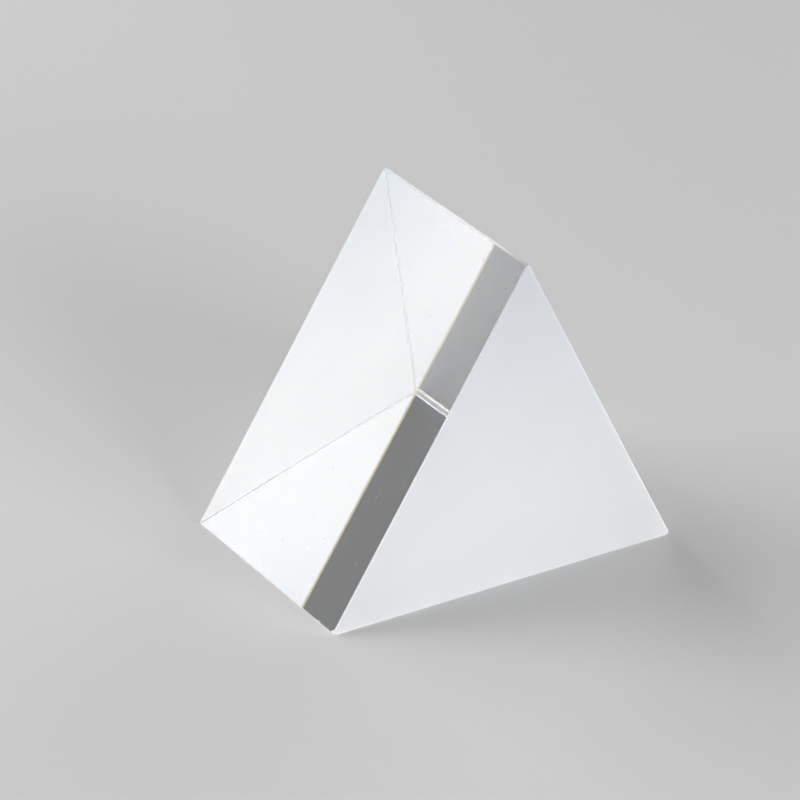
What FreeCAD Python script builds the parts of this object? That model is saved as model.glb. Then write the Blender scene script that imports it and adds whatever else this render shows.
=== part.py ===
import FreeCAD, Part
import Sketcher
import os

# An equilateral prism of clear crown glass, worked from one block.
# Its three long faces are polished and its two triangular ends are fine ground.
# It lies on one polished face, with the edge opposite that face uppermost.
# X runs across the prism, Y along its length and Z up. The origin is the middle
# of the face that it rests on, and every size is in millimetres.

doc = FreeCAD.newDocument("EquilateralPrism")


# Driving sizes

SIZES = [
    ("face_width", 50.0, "width of each polished face, between its sharp edges"),
    ("prism_length", 30.0, "length between the two ground ends"),
    ("edge_bevel", 0.45, "leg of the safety bevel along each long edge"),
    ("rim_bevel", 0.15, "leg of the safety bevel round each ground end"),
    ("corner_break", 0.12, "leg of the facet where a long bevel meets an end"),
    ("corner_wear", 0.48, "how much further the front left corner is worn down"),
    ("chip_radius", 0.25, "curve of the shell-shaped chip in the left lower edge"),
    ("chip_depth", 0.22, "depth of that chip below the bevel"),
    ("chip_from_front", 3.3, "place of that chip, from the front end"),
    ("nick_radius", 0.3, "curve of the smaller nick in the same edge"),
    ("nick_depth", 0.15, "depth of that nick below the bevel"),
    ("nick_from_back", 2.8, "place of that nick, from the back end"),
]

sheet = doc.addObject("Spreadsheet::Sheet", "sizes")
for row, (alias, value, meaning) in enumerate(SIZES, start=1):
    sheet.set("A%d" % row, meaning)
    sheet.set("B%d" % row, str(value))
    sheet.setAlias("B%d" % row, alias)
doc.recompute()

# These follow from the sizes, and serve the sketches and the cuts below. The centre
# line is the one that all three polished faces are equally far from. The drop is how
# far a long bevel lies below the sharp edge that it replaces, and a reach is how far
# a corner is taken down.
CENTRE_HEIGHT = "sizes.face_width * sqrt(3) / 6"
BEVEL_DROP = "sizes.edge_bevel * cos(30 deg)"
CORNER_REACH = BEVEL_DROP + " + sizes.corner_break"
WORN_REACH = CORNER_REACH + " + sizes.corner_wear"


# Helpers for sketches and edges

def origin_plane(body, role):
    for feature in body.Origin.OriginFeatures:
        if feature.Role == role:
            return feature
    raise ValueError("no origin plane " + role)


def new_sketch(body, role, name):
    sketch = body.newObject("Sketcher::SketchObject", name)
    sketch.AttachmentSupport = (origin_plane(body, role), "")
    sketch.MapMode = "FlatFace"
    return sketch


def evaluated(expression):
    # What an expression gives at the sizes in the sheet.
    return float(sheet.evalExpression(expression))


def triangle(sketch, corners):
    # Three straight lines from corner to corner, each joined to the next.
    points = [FreeCAD.Vector(across, up, 0) for across, up in corners]
    lines = []
    for start, end in zip(points, points[1:] + points[:1]):
        lines.append(sketch.addGeometry(Part.LineSegment(start, end), False))
    for line, following in zip(lines, lines[1:] + lines[:1]):
        sketch.addConstraint(Sketcher.Constraint("Coincident", line, 2, following, 1))
    return lines


def driven(sketch, name, expression, *constrained):
    # A dimension of the sketch that takes its value from the sizes.
    constraint = Sketcher.Constraint(*constrained, evaluated(expression))
    index = sketch.addConstraint(constraint)
    sketch.renameConstraint(index, name)
    sketch.setExpression("Constraints." + name, expression)


def edge_names(shape, wanted):
    return ["Edge%d" % n for n, edge in enumerate(shape.Edges, start=1) if wanted(edge)]


def runs_along_length(edge):
    box = edge.BoundBox
    return box.YLength > 100 * max(box.XLength, box.ZLength)


def lies_in_an_end(edge):
    return edge.BoundBox.YLength < 1e-6


# The prism

prism = doc.addObject("PartDesign::Body", "prism")
prism.Label = "prism"
prism.Placement = FreeCAD.Placement()

# Its section is a triangle with three equal sides. The sketch is drawn about the
# centre line, so that its own axis is the one that the corners repeat round.
section = new_sketch(prism, "XZ_Plane", "section")
section.setExpression(".AttachmentOffset.Base.y", CENTRE_HEIGHT)
width = evaluated("sizes.face_width")
below = evaluated(CENTRE_HEIGHT)
corners = [(-width / 2, -below), (width / 2, -below), (0, 2 * below)]
base, right, left = triangle(section, corners)
section.addConstraint(Sketcher.Constraint("Equal", base, right))
section.addConstraint(Sketcher.Constraint("Equal", right, left))
section.addConstraint(Sketcher.Constraint("Symmetric", base, 1, base, 2, -2))
driven(section, "face_width", "sizes.face_width", "Distance", base)
driven(section, "centre_height", CENTRE_HEIGHT, "DistanceY", base, 1, -1, 1)

block = prism.newObject("PartDesign::Pad", "block")
block.Profile = section
block.SideType = "Symmetric"
block.setExpression("Length", "sizes.prism_length")
doc.recompute()
block_volume = block.Shape.Volume

# A sharp glass edge splinters when it is touched, so every edge gets a narrow
# ground bevel: first the rim of each end.
rim_bevels = prism.newObject("PartDesign::Chamfer", "rim_bevels")
rim_bevels.Base = (block, edge_names(block.Shape, lies_in_an_end))
rim_bevels.setExpression("Size", "sizes.rim_bevel")
doc.recompute()

# Each of the six corners is blunted with one flat facet at 45 degrees to the end.
# Seen from the side, the cut at each end of an edge is a right-angled triangle. It
# starts one reach outside the glass, so that no two faces coincide.
FRONT, BACK = -1, 1


def corner_cut(name, turn, reach, sides):
    # The sketch holds the centre line and one long edge, the top one at no turn, and
    # its own height is measured from the centre line.
    sketch = new_sketch(prism, "YZ_Plane", name + "_section")
    about_the_length = FreeCAD.Rotation(FreeCAD.Vector(1, 0, 0), turn)
    sketch.AttachmentOffset = FreeCAD.Placement(FreeCAD.Vector(), about_the_length)
    sketch.setExpression(".AttachmentOffset.Base.y", CENTRE_HEIGHT)
    leg = "3 * (%s)" % reach
    height = "2 * %s + %s" % (CENTRE_HEIGHT, reach)
    half = "sizes.prism_length / 2 + %s" % reach
    for side in sides:
        end = "front" if side == FRONT else "back"
        tip = (side * evaluated(half), evaluated(height))
        lower = (tip[0], tip[1] - evaluated(leg))
        inner = (tip[0] - side * evaluated(leg), tip[1])
        upright, slope, level = triangle(sketch, [tip, lower, inner])
        sketch.addConstraint(Sketcher.Constraint("Vertical", upright))
        sketch.addConstraint(Sketcher.Constraint("Horizontal", level))
        sketch.addConstraint(Sketcher.Constraint("Equal", upright, level))
        driven(sketch, end + "_leg", leg, "Distance", level)
        driven(sketch, end + "_height", height, "DistanceY", -1, 1, upright, 1)
        # The distance is measured towards the back, so the two ends give it in turn.
        points = (upright, 1, -1, 1) if side == FRONT else (-1, 1, upright, 1)
        driven(sketch, end + "_half", half, "DistanceX", *points)
    cut = prism.newObject("PartDesign::Pocket", name)
    cut.Profile = sketch
    cut.SideType = "Symmetric"
    cut.Type = "ThroughAll"
    prism.Tip = cut
    doc.recompute()
    return cut


ridge_corners = corner_cut("ridge_corners", 0, CORNER_REACH, [FRONT, BACK])

all_corners = prism.newObject("PartDesign::PolarPattern", "all_corners")
all_corners.Originals = [ridge_corners]
all_corners.Axis = (section, ["N_Axis"])
all_corners.Angle = 360
all_corners.Occurrences = 3
prism.Tip = all_corners
doc.recompute()

# The front left corner has been knocked and is ground down further than the others.
worn_corner = corner_cut("worn_corner", -120, WORN_REACH, [FRONT])

# The bevels of the three long edges run out in those facets.
long_bevels = prism.newObject("PartDesign::Chamfer", "long_bevels")
long_bevels.Base = (worn_corner, edge_names(worn_corner.Shape, runs_along_length))
long_bevels.setExpression("Size", "sizes.edge_bevel")
doc.recompute()


# Wear on the left lower edge

def shell_chip(name, radius, depth, place):
    # Glass breaks away in a shell shape, so the chip is a shallow bite of a ball.
    # The ball's middle lies outside the edge, on the line that halves its angle,
    # and its seam is turned to the side away from the glass.
    bite = prism.newObject("PartDesign::SubtractiveSphere", name)
    bite.AttachmentSupport = (origin_plane(prism, "XY_Plane"), "")
    bite.MapMode = "FlatFace"
    half_turn = FreeCAD.Rotation(FreeCAD.Vector(0, 0, 1), 180)
    bite.AttachmentOffset = FreeCAD.Placement(FreeCAD.Vector(), half_turn)
    bite.setExpression("Radius", radius)
    outward = "(%s - %s - %s)" % (radius, depth, BEVEL_DROP)
    across = "-sizes.face_width / 2 - %s * cos(30 deg)" % outward
    bite.setExpression(".AttachmentOffset.Base.x", across)
    bite.setExpression(".AttachmentOffset.Base.y", place)
    bite.setExpression(".AttachmentOffset.Base.z", "-%s * sin(30 deg)" % outward)
    prism.Tip = bite
    doc.recompute()
    return bite


front_chip = shell_chip("front_chip", "sizes.chip_radius", "sizes.chip_depth",
                        "sizes.chip_from_front - sizes.prism_length / 2")
back_nick = shell_chip("back_nick", "sizes.nick_radius", "sizes.nick_depth",
                       "sizes.prism_length / 2 - sizes.nick_from_back")


# Checks, and the exported solid

for thing in doc.Objects:
    if "Invalid" in thing.State or "Error" in thing.State:
        raise RuntimeError("%s failed: %s" % (thing.Name, thing.State))

cuts = [rim_bevels, ridge_corners, all_corners, worn_corner, long_bevels, front_chip, back_nick]
volume = block_volume
for feature in cuts:
    if not feature.Shape.Volume < volume:
        raise RuntimeError(feature.Name + " removed no glass")
    print("%-14s takes off %8.4f cubic mm" % (feature.Name, volume - feature.Shape.Volume))
    volume = feature.Shape.Volume

solid = prism.Shape
if solid.isNull() or not solid.isValid() or len(solid.Solids) != 1:
    raise RuntimeError("the prism is not one valid solid")
print("prism: %.1f cubic mm, %d faces" % (solid.Volume, len(solid.Faces)))
box = solid.optimalBoundingBox()
print("box: %.3f x %.3f x %.3f mm" % (box.XLength, box.YLength, box.ZLength))

os.makedirs("parts", exist_ok=True)
solid.exportStep(os.path.join("parts", prism.Label + ".step"))
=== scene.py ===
# %% [markdown]
# # An equilateral prism of crown glass
# The real prism is one block of clear optical glass. Its three long faces are
# polished, its two triangular ends are fine ground, and every sharp edge carries a
# narrow ground bevel. It lies on one polished face on a plain pale table.
# The imported model gives its size and place, so it is loaded before anything else.

# %% Load the imported prism
import math

import bmesh
import bpy
from mathutils import Matrix, Vector


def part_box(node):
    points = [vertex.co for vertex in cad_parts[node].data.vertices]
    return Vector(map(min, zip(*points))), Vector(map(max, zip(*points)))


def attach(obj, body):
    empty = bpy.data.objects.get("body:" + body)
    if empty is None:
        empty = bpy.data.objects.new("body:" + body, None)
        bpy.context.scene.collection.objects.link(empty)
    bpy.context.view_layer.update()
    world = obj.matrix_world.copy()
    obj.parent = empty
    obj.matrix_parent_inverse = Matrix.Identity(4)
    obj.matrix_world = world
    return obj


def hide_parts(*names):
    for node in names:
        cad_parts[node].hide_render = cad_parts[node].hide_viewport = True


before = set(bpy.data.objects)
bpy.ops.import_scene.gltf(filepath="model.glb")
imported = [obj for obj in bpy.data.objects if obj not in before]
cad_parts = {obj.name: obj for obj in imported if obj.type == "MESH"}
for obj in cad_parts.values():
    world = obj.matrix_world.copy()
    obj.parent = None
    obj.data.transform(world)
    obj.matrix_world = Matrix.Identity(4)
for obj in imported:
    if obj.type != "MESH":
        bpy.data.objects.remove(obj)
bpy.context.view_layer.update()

print("nodes:", sorted(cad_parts))

# %% [markdown]
# ## The sizes of the block
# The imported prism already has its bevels, so its box is a little smaller than the
# triangle that the block was sawn to. Adding what the bevels took off gives the
# width of a face between its sharp edges, and every other size follows from the
# geometry of a triangle with three equal sides. All lengths here are metres.

# %% Measure the block
MILLIMETRE = 0.001
LONG_BEVEL = 0.45 * MILLIMETRE    # along the three long edges
RIM_BEVEL = 0.15 * MILLIMETRE     # round each ground end
CORNER_BREAK = 0.12 * MILLIMETRE  # where a long bevel meets an end
CORNER_WEAR = 0.48 * MILLIMETRE   # what the front left corner has lost besides
BEVEL_DROP = LONG_BEVEL * math.cos(math.radians(30))

low, high = (Vector(corner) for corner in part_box("prism"))
FACE_WIDTH = high.x - low.x + LONG_BEVEL
HALF_LENGTH = high.y
RIDGE_HEIGHT = FACE_WIDTH * math.sqrt(3) / 2
CENTRE_HEIGHT = RIDGE_HEIGHT / 3
CENTRE = Vector((0, 0, CENTRE_HEIGHT))
print("face %.2f mm, length %.2f mm" % (FACE_WIDTH * 1000, HALF_LENGTH * 2000))

# %% [markdown]
# ## The camera
# A picture of a box-like thing says a great deal about the camera that took it.
# The edges of the prism in the photograph were fitted by a camera model, which gave
# a long lens, about half a metre away, that looks down at 28 degrees and along the
# prism at 36 degrees to its axis, and leans a little to one side. The camera is
# built in the same way here: a direction to look along, a lean, and a distance.

# %% Place the camera
PICTURE = 800                      # pixels along each side of the picture
SENSOR = 36.0                      # millimetres
FOCAL_PIXELS = 4384.0
AZIMUTH = math.radians(-35.64)
ELEVATION = math.radians(28.23)
LEAN = math.radians(3.40)
DISTANCE = 10.602 * FACE_WIDTH
TARGET = Vector((0, 0, 0.45 * RIDGE_HEIGHT))
TARGET_PIXEL = (443.85, 390.11)    # where that point lies in the picture

back = Vector((
    math.sin(AZIMUTH) * math.cos(ELEVATION),
    -math.cos(AZIMUTH) * math.cos(ELEVATION),
    math.sin(ELEVATION),
))
level = Vector((math.cos(AZIMUTH), math.sin(AZIMUTH), 0))
upright = back.cross(level)
right = math.cos(LEAN) * level + math.sin(LEAN) * upright
up = math.cos(LEAN) * upright - math.sin(LEAN) * level

shift_right = (TARGET_PIXEL[0] - PICTURE / 2) * DISTANCE / FOCAL_PIXELS
shift_down = (TARGET_PIXEL[1] - PICTURE / 2) * DISTANCE / FOCAL_PIXELS
position = TARGET + DISTANCE * back - shift_right * right + shift_down * up

camera_data = bpy.data.cameras.new("camera")
camera_data.sensor_width = SENSOR
camera_data.lens = FOCAL_PIXELS * SENSOR / PICTURE
camera_data.dof.use_dof = False
camera = bpy.data.objects.new("camera", camera_data)
turned = Matrix((right, up, back)).transposed().to_4x4()
camera.matrix_world = Matrix.Translation(position) @ turned
bpy.context.scene.collection.objects.link(camera)
bpy.context.scene.camera = camera
print("camera at", tuple(round(v, 4) for v in position), "lens %.0f mm" % camera_data.lens)

# %% [markdown]
# ## Saw the block
# A cylinder with three sides is already a prism. It is added standing, so it is
# laid on its side: a quarter turn about X brings its axis along Y and its first
# corner to the top. Applying the turn puts the place into the mesh and leaves the
# object itself at the origin.

# %% Add the three-sided cylinder
def only(obj):
    """Make obj the one selected and active object."""
    bpy.ops.object.select_all(action="DESELECT")
    obj.select_set(True)
    bpy.context.view_layer.objects.active = obj


bpy.ops.object.select_all(action="DESELECT")
bpy.ops.mesh.primitive_cylinder_add(
    vertices=3,
    radius=2 * CENTRE_HEIGHT,
    depth=2 * HALF_LENGTH,
    location=CENTRE,
    rotation=(math.radians(90), 0, 0),
)
block = bpy.context.object
block.name = "glass_block"
only(block)
bpy.ops.object.transform_apply(location=True, rotation=True, scale=True)
print("sawn block:", len(block.data.vertices), "corners,", len(block.data.polygons), "faces")

# %% [markdown]
# ## Grind the bevels and the corners
# Sharp glass splinters at a touch, so the optician breaks every edge on a grinding
# plate. The rims of the two ends come first, with the bevel tool. Then each of the
# six corners is blunted by one flat facet, and the long edges come last. A grinding
# plate is a plane, and so is a bisection that throws away what lies outside it and
# fills the hole. It cuts both the facets and the long bevels here, because a bevel
# that runs out in facets smaller than itself is more than the bevel tool can follow.

# %% Bevel the rims, blunt the corners, bevel the long edges
def select_edges(obj, wanted):
    """In edit mode, select the edges for which wanted(one end, other end) is true."""
    bpy.ops.mesh.select_mode(type="EDGE")
    bpy.ops.mesh.select_all(action="DESELECT")
    mesh = bmesh.from_edit_mesh(obj.data)
    picked = [edge for edge in mesh.edges if wanted(*(v.co for v in edge.verts))]
    for edge in picked:
        edge.select_set(True)
    mesh.select_flush_mode()
    bmesh.update_edit_mesh(obj.data)
    return len(picked)


def in_an_end(a, b):
    return abs(a.y - b.y) < 1e-6 and abs(a.y) > HALF_LENGTH - 1e-6


def grind_flat(point, outward):
    """Take away all that lies outside the plane through this point."""
    bpy.ops.mesh.select_all(action="SELECT")
    bpy.ops.mesh.bisect(
        plane_co=point, plane_no=outward, use_fill=True, clear_outer=True, threshold=1e-7
    )


CORNER_DIRECTIONS = [
    Vector((math.sin(math.radians(turn)), 0, math.cos(math.radians(turn))))
    for turn in (0, 120, 240)
]
LEFTWARD = CORNER_DIRECTIONS[2]

bpy.ops.object.mode_set(mode="EDIT")
print("rim edges:", select_edges(block, in_an_end))
bpy.ops.mesh.bevel(offset=RIM_BEVEL, offset_type="OFFSET", segments=1, affect="EDGES")
for side in (-1, 1):
    for outward in CORNER_DIRECTIONS:
        wear_and_shade = side == -1 and outward == LEFTWARD
        reach = BEVEL_DROP + CORNER_BREAK + CORNER_WEAR * wear_and_shade
        along = Vector((0, side, 0))
        corner = CENTRE + 2 * CENTRE_HEIGHT * outward + HALF_LENGTH * along
        grind_flat(corner - reach * outward, outward + along)
for outward in CORNER_DIRECTIONS:
    grind_flat(CENTRE + (2 * CENTRE_HEIGHT - BEVEL_DROP) * outward, outward)
bpy.ops.object.mode_set(mode="OBJECT")
print("ground block:", len(block.data.polygons), "faces")

# %% [markdown]
# ## Two chips in the lower edge
# Glass breaks in shell-shaped bites. A ball with a slightly uneven surface is cut
# from the edge for each of the two that the real prism has: a chip near the front
# corner and a smaller nick near the back one.

# %% Bite out the chips
UNEVENNESS = 0.02  # of the ball's radius


def bite(name, radius, depth, y, seed):
    """Cut a shell-shaped chip of the given depth into the left lower edge at y."""
    edge = CENTRE + 2 * CENTRE_HEIGHT * LEFTWARD
    middle = edge + (radius - depth - BEVEL_DROP) * LEFTWARD
    bpy.ops.object.select_all(action="DESELECT")
    bpy.ops.mesh.primitive_ico_sphere_add(
        subdivisions=4, radius=radius, location=(middle.x, y, middle.z)
    )
    ball = bpy.context.object
    only(ball)
    bpy.ops.object.transform_apply(location=True, rotation=True, scale=True)
    bpy.ops.object.mode_set(mode="EDIT")
    bpy.ops.mesh.select_all(action="SELECT")
    bpy.ops.transform.vertex_random(
        offset=UNEVENNESS * radius, uniform=0.0, normal=1.0, seed=seed
    )
    bpy.ops.object.mode_set(mode="OBJECT")
    only(block)
    cut = block.modifiers.new(name, "BOOLEAN")
    cut.operation = "DIFFERENCE"
    cut.solver = "EXACT"
    cut.object = ball
    bpy.ops.object.modifier_apply(modifier=cut.name)
    bpy.data.objects.remove(ball)
    print(name, "leaves", len(block.data.polygons), "faces")


bite("chip", 0.25 * MILLIMETRE, 0.22 * MILLIMETRE, 3.3 * MILLIMETRE - HALF_LENGTH, 3)
bite("nick", 0.30 * MILLIMETRE, 0.15 * MILLIMETRE, HALF_LENGTH - 2.8 * MILLIMETRE, 5)

# %% [markdown]
# ## Smooth the chips only
# The flat faces of the block must stay flat, or their polish would look like that of
# a pebble. Smoothing by angle rounds only what meets at less than 25 degrees, which
# is the many small faces of the chips, and leaves every ground edge crisp.

# %% Smooth by angle
SMOOTH_BELOW = math.radians(25)
only(block)
bpy.ops.object.shade_smooth_by_angle(angle=SMOOTH_BELOW)

# %% [markdown]
# ## A short way to write shader maths
# Node trees are easier to read as formulas. This small class wraps a socket, so that
# adding, subtracting or multiplying adds the Math node for it, and a plain number may
# stand on either side. Every other node comes from one method, which sets what the
# node does before it feeds its sockets.

# %% The socket class
class Value:
    """An output socket that can be used in a formula."""

    def __init__(self, tree, socket):
        self.tree = tree
        self.socket = socket

    def node(self, kind, settings, inputs, output=0):
        """Add a node of this kind to the tree, and give one of its outputs."""
        made = self.tree.nodes.new(kind)
        for name, setting in settings.items():
            setattr(made, name, setting)
        for name, given in inputs.items():
            self.feed(made.inputs[name], given)
        return Value(self.tree, made.outputs[output])

    def feed(self, wanted, given):
        """Link a value to an input, or write a plain number or colour there."""
        if isinstance(given, Value):
            self.tree.links.new(given.socket, wanted)
        else:
            wanted.default_value = given

    def maths(self, operation, first, second):
        return self.node("ShaderNodeMath", {"operation": operation}, {0: first, 1: second})

    def __add__(self, other):
        return self.maths("ADD", self, other)

    __radd__ = __add__

    def __sub__(self, other):
        return self.maths("SUBTRACT", self, other)

    def __rsub__(self, other):
        return self.maths("SUBTRACT", other, self)

    def __mul__(self, other):
        return self.maths("MULTIPLY", self, other)

    __rmul__ = __mul__

    def between(self, low, high, from_low=0.0, from_high=1.0):
        """Stretch the values from_low to from_high over low to high, and stop there."""
        return self.node(
            "ShaderNodeMapRange",
            {"clamp": True},
            {
                "Value": self,
                "From Min": from_low,
                "From Max": from_high,
                "To Min": low,
                "To Max": high,
            },
        )

    def noise(self, grain, detail=2.0):
        """Random values from 0 to 1 at this position, with lumps as large as the grain."""
        return self.node(
            "ShaderNodeTexNoise", {}, {"Vector": self, "Scale": 1 / grain, "Detail": detail}
        )

    def bump(self, depth):
        """A surface that rises and falls by this much where the value goes from 0 to 1."""
        return self.node(
            "ShaderNodeBump", {}, {"Strength": 1.0, "Distance": depth, "Height": self}
        )

    def blend(self, dark, pale):
        """The dark colour where the value is 0 and the pale one where it is 1."""
        return self.node(
            "ShaderNodeMix",
            {"data_type": "RGBA"},
            {0: self, 6: (*dark, 1), 7: (*pale, 1)},
            output=2,
        )


# %% [markdown]
# ## Six finishes of one glass
# All of the prism is the same crown glass, which bends light by a known amount. What
# differs from face to face is how far the surface was worked. Each finish is a
# material of its own that starts from the same Principled shader.

# %% Start a glass
CROWN_INDEX = 1.5168
CROWN_TINT = (0.985, 0.992, 0.995)


def new_glass(name, roughness, transmission):
    """Make a glass material. Gives it, its shader and where each point lies."""
    material = bpy.data.materials.new(name)
    material.use_nodes = True
    tree = material.node_tree
    principled = tree.nodes["Principled BSDF"]
    principled.inputs["Base Color"].default_value = (*CROWN_TINT, 1)
    principled.inputs["Roughness"].default_value = roughness
    principled.inputs["Transmission Weight"].default_value = transmission
    principled.inputs["IOR"].default_value = CROWN_INDEX
    shader = Value(tree, principled.outputs["BSDF"])
    place = shader.node("ShaderNodeTexCoord", {}, {}, output="Object")
    return material, shader, place


def show(material, surface):
    """Let this shader be what the material shows."""
    output = material.node_tree.nodes["Material Output"]
    surface.feed(output.inputs["Surface"], surface)


# %% [markdown]
# ## The polished faces
# A polished face has no roughness at all, or the edges seen through the prism would
# blur. Two things keep it from looking like perfect glass: the way it spreads light
# into colours, and a little dust.

# %% Polish the faces
polished, polished_shader, place = new_glass("polished_glass", 0.0, 1.0)

# %% [markdown]
# ## The coloured fringe
# Glass bends blue light a little more than red. Where a bright place seen through the
# prism meets a dark one, that leaves a fringe of cream and olive a pixel or two wide.
# A glass shader has one index for all colours, so two of them are mixed half and
# half: a warm one with the index of the red end of the spectrum and a cool one with
# that of the violet end. Together they are colourless again. The more the two differ
# in colour, the more the picture sparkles with noise, so they are kept pale. The first
# bend makes the fringe, so only what the camera sees directly is spread like this.

# %% Spread the colours
RED_END_INDEX = 1.511
VIOLET_END_INDEX = 1.527
WARM = (1.30, 1.05, 0.50)
COOL = [2 - part for part in WARM]


def glass_of_colour(colour, index):
    """A clear glass that passes this colour on top of the tint of the glass."""
    passed = [tint * part for tint, part in zip(CROWN_TINT, colour)]
    return place.node(
        "ShaderNodeBsdfGlass", {}, {"Color": (*passed, 1), "Roughness": 0.0, "IOR": index}
    )


warm_glass = glass_of_colour(WARM, RED_END_INDEX)
cool_glass = glass_of_colour(COOL, VIOLET_END_INDEX)
spread = place.node("ShaderNodeMixShader", {}, {"Fac": 0.5, 1: warm_glass, 2: cool_glass})
first_look = place.node("ShaderNodeLightPath", {}, {}, output="Is Camera Ray")
clear = place.node("ShaderNodeMixShader", {}, {"Fac": first_look, 1: polished_shader, 2: spread})
print("warm light is bent by", RED_END_INDEX, "and cool light by", VIOLET_END_INDEX)

# %% [markdown]
# ## Dust on the polish
# Each cell of a Voronoi texture has one point, and the few of those points that lie
# within a sixth of a millimetre of the glass make round specks. The texture also
# gives each cell a colour of its own, and its red makes some specks fainter than
# others. A speck scatters the light that comes out of the glass, so it is bright
# where the glass behind it is dark.

# %% Dust the faces
DUST_APART = 1.8 * MILLIMETRE
DUST_RADIUS = 0.16 * MILLIMETRE
DUST_STRENGTH = 0.25
DUST_COLOUR = (0.92, 0.91, 0.89)
cells = {"Vector": place, "Scale": 1 / DUST_APART}
distance = place.node("ShaderNodeTexVoronoi", {}, cells, output="Distance")
colour = place.node("ShaderNodeTexVoronoi", {}, cells, output="Color")
red = place.node("ShaderNodeSeparateColor", {}, {"Color": colour}, output="Red")
speck = distance.between(1.0, 0.0, 0.0, DUST_RADIUS / DUST_APART)
dust = place.node("ShaderNodeBsdfTranslucent", {}, {"Color": (*DUST_COLOUR, 1)})
dusty = place.node(
    "ShaderNodeMixShader", {}, {"Fac": DUST_STRENGTH * speck * red, 1: clear, 2: dust}
)
show(polished, dusty)
print("dust specks about", round(DUST_APART * 1000, 2), "mm apart")

# %% [markdown]
# ## The fine-ground ends
# Loose abrasive leaves the ends covered with tiny pits, which scatter light as it
# enters. Part of it still keeps its way, which a rough Principled shader gives, and
# most comes out evenly on the other side, which is what a Translucent shader does.
# The pits are too small to see one by one, so a faint grain tilts the surface, and
# the roughness drifts a little. The upper part of each end is painted shade: its
# colour turns greyer towards the ridge, less and less towards the base.

# %% Grind the ends
# The first colour is the ground glass's own white. The two greys after it are painted shade, for
# the upper part of the ends and of the front rim.
UNSHADED_WHITE = (0.955, 0.965, 0.975)
END_SHADE_GREY = (0.790, 0.820, 0.865)
RIM_SHADE_GREY = (0.72, 0.75, 0.80)
GROUND_ROUGHNESS = 0.9
SHADE_ABOVE = 12 * MILLIMETRE  # the grey begins at this height
WAVER = 4 * MILLIMETRE           # and that height wavers by this much


def scatter(shader, share, colour, normal):
    """Mix a glass with a surface that spreads this share of the light evenly."""
    spread = shader.node(
        "ShaderNodeBsdfTranslucent", {}, {"Color": colour, "Normal": normal}
    )
    return shader.node("ShaderNodeMixShader", {}, {"Fac": share, 1: shader, 2: spread})


def ground_finish(name, clear, share, grain, depth, cloud, shade_colour):
    """A ground surface with pits of this grain and depth, clouds of this size, and painted shade
    of the given grey towards the ridge.
    """
    material, shader, place = new_glass(name, GROUND_ROUGHNESS, clear)
    inputs = material.node_tree.nodes["Principled BSDF"].inputs
    drift = place.noise(cloud).between(0.0, 1.0, 0.3, 0.7)
    # Painted shade: above a wavering height, the colour turns from the glass's white to the
    # given grey and is greyest at the ridge. The translucent layer takes the same colour.
    height = place.node("ShaderNodeSeparateXYZ", {}, {"Vector": place}, output="Z")
    wear_and_shade = (height + WAVER * drift).between(0.0, 1.0, SHADE_ABOVE, RIDGE_HEIGHT)
    colour = wear_and_shade.blend(UNSHADED_WHITE, shade_colour)
    pits = place.noise(grain).bump(depth)
    shader.feed(inputs["Base Color"], colour)
    rougher, smoother = GROUND_ROUGHNESS + 0.06, GROUND_ROUGHNESS - 0.06
    shader.feed(inputs["Roughness"], drift.between(rougher, smoother))
    shader.feed(inputs["Normal"], pits)
    show(material, scatter(shader, share, colour, pits))
    return material


ground = ground_finish(
    "fine_ground_glass", 0.7, 0.7, 0.25 * MILLIMETRE, 0.008 * MILLIMETRE, 9 * MILLIMETRE, END_SHADE_GREY
)

# %% [markdown]
# ## The bevels
# The three long bevels were touched up on a polishing pad after they were ground, so
# most of the light still goes straight through them, a little blurred. The rims and
# the corners were only broken by hand on a coarse plate, which leaves larger and
# deeper pits. Those at the back are opaque white, so the edges of the far end hardly
# show through the prism. Those at the front carry the same painted shade as the end,
# greyer towards the ridge.

# %% Grind the bevels
bevelled, bevelled_shader, place = new_glass("fine_bevel_glass", 0.2, 0.85)
bevelled_inputs = bevelled.node_tree.nodes["Principled BSDF"].inputs
scratches = place.noise(0.12 * MILLIMETRE)
place.feed(bevelled_inputs["Roughness"], scratches.between(0.15, 0.25))
place.feed(bevelled_inputs["Normal"], scratches.bump(0.015 * MILLIMETRE))

# The front rim is painted shade, a grey that deepens towards the ridge. The back rim keeps its
# own white all over.
front_rim = ground_finish(
    "front_rim_glass", 0.3, 0.7, 0.12 * MILLIMETRE, 0.015 * MILLIMETRE, 3 * MILLIMETRE, RIM_SHADE_GREY
)
back_rim = ground_finish(
    "back_rim_glass", 0.0, 0.2, 0.12 * MILLIMETRE, 0.015 * MILLIMETRE, 3 * MILLIMETRE, UNSHADED_WHITE
)

# %% [markdown]
# ## The fresh glass in the chips
# A chip is a fracture, so its surface is bright and clear and has fine ripples that
# run round the point where the blow fell. Noise stretched over a small grain gives
# them, and a low roughness keeps them sharp.

# %% Ripple the chips
chipped, chipped_shader, place = new_glass("chipped_glass", 0.1, 1.0)
ripples = place.noise(0.15 * MILLIMETRE, detail=4.0).bump(0.03 * MILLIMETRE)
place.feed(chipped.node_tree.nodes["Principled BSDF"].inputs["Normal"], ripples)

# %% [markdown]
# ## Give each face its finish
# The three large faces along the prism are polished and the two across it are ground.
# The narrow faces are bevels: a long one does not lean towards an end, and those of
# the rims and the corners do. The faces of the chips are smaller still.

# %% Assign the finishes
LARGE_FACE = 100 * MILLIMETRE ** 2
CHIP_FACE = 0.02 * MILLIMETRE ** 2
finishes = [polished, ground, bevelled, front_rim, back_rim, chipped]
POLISHED, GROUND, BEVELLED, FRONT_RIM, BACK_RIM, CHIPPED = range(len(finishes))
for material in finishes:
    block.data.materials.append(material)

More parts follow.
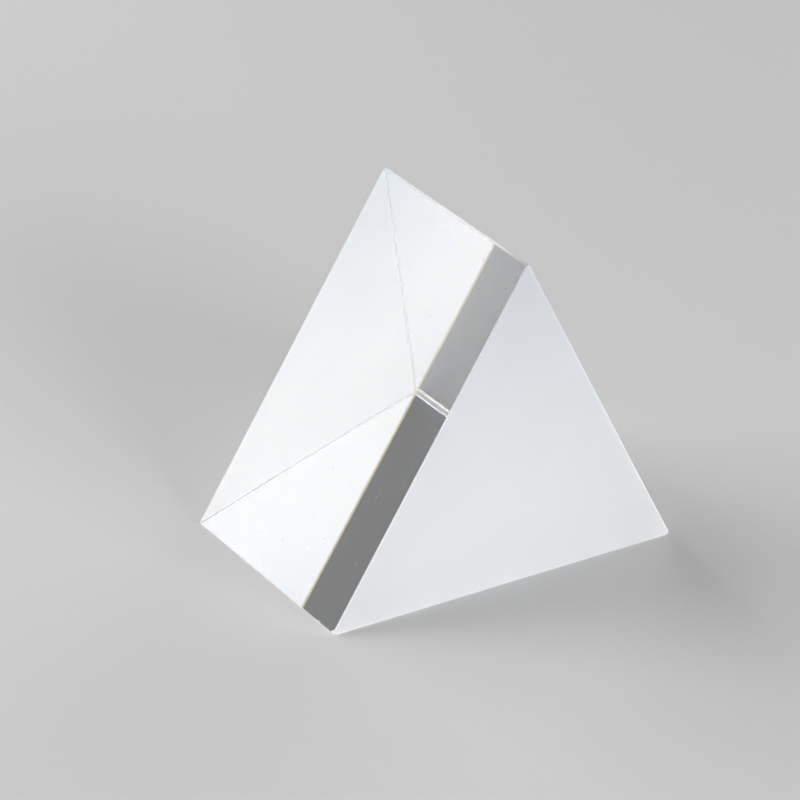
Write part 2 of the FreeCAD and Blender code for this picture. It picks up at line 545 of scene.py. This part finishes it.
counts = [0] * len(finishes)
for face in block.data.polygons:
    lean = face.normal.y
    if face.area > LARGE_FACE:
        finish = GROUND if abs(lean) > 0.9 else POLISHED
    elif face.area < CHIP_FACE:
        finish = CHIPPED
    elif abs(lean) < 0.1:
        finish = BEVELLED
    else:
        finish = FRONT_RIM if lean < 0 else BACK_RIM
    face.material_index = finish
    counts[finish] += 1
print("faces polished, ground, long bevels, front rim, back rim, chips:", counts)

# %% [markdown]
# ## Hand the block to the frame
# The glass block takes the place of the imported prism. It rides the one body there is.

# %% Place in the frame
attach(block, "root")
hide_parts("prism")

# %% [markdown]
# ## The table
# Glass that touched the table all over would look as if it were cemented to it. On a
# real table a film of air is left, and light that meets the base at a low angle is
# thrown back by it. So the table lies a hair below the prism.

# %% Lay the table
AIR_GAP = 0.02 * MILLIMETRE
TABLE_SIZE = 6.0
TABLE_GREY = 0.60
bpy.ops.object.select_all(action="DESELECT")
bpy.ops.mesh.primitive_plane_add(size=TABLE_SIZE, location=(0, 0, -AIR_GAP))
floor = bpy.context.object
floor.name = "table"
paint = bpy.data.materials.new("table_paint")
paint.use_nodes = True
paint_shader = paint.node_tree.nodes["Principled BSDF"]
paint_shader.inputs["Base Color"].default_value = (TABLE_GREY, TABLE_GREY, TABLE_GREY, 1)
paint_shader.inputs["Roughness"].default_value = 0.6
floor.data.materials.append(paint)

# %% [markdown]
# ## The light
# Glass shows what stands round it, so the lamps are placed by what each face sees.
# The ground ends glow with the light that falls on them from behind and from the
# right. A softbox in front lights the near end. The two dark windows beside it look
# out at the table and at the room, so the room itself is kept dim.

# %% Set the lamps
def softbox(name, azimuth, elevation, distance, width, height, brightness):
    """A soft lamp that faces the prism. Brightness 1 is that of a white wall."""
    data = bpy.data.lights.new(name, "AREA")
    data.shape = "RECTANGLE"
    data.size = width
    data.size_y = height
    data.energy = brightness * math.pi * width * height
    lamp = bpy.data.objects.new(name, data)
    turn, rise = math.radians(azimuth), math.radians(elevation)
    toward = Vector((
        math.sin(turn) * math.cos(rise),
        math.cos(turn) * math.cos(rise),
        math.sin(rise),
    ))
    lamp.location = distance * toward
    lamp.rotation_euler = toward.to_track_quat("Z", "Y").to_euler()
    bpy.context.scene.collection.objects.link(lamp)
    return lamp


softbox("back_left_softbox", 308, 40, 0.6, 0.40, 0.32, 5.6)
softbox("back_softbox", 345, 20, 0.6, 0.36, 0.28, 4.2)
softbox("right_softbox", 68, 24, 0.6, 0.36, 0.28, 2.2)
softbox("front_softbox", 175, 9, 0.6, 0.40, 0.18, 25.0)

ROOM = 0.18
world = bpy.data.worlds.new("studio")
bpy.context.scene.world = world
world.use_nodes = True
world.node_tree.nodes["Background"].inputs["Color"].default_value = (ROOM, ROOM, ROOM, 1)

view = bpy.context.scene.view_settings
view.view_transform = "Standard"
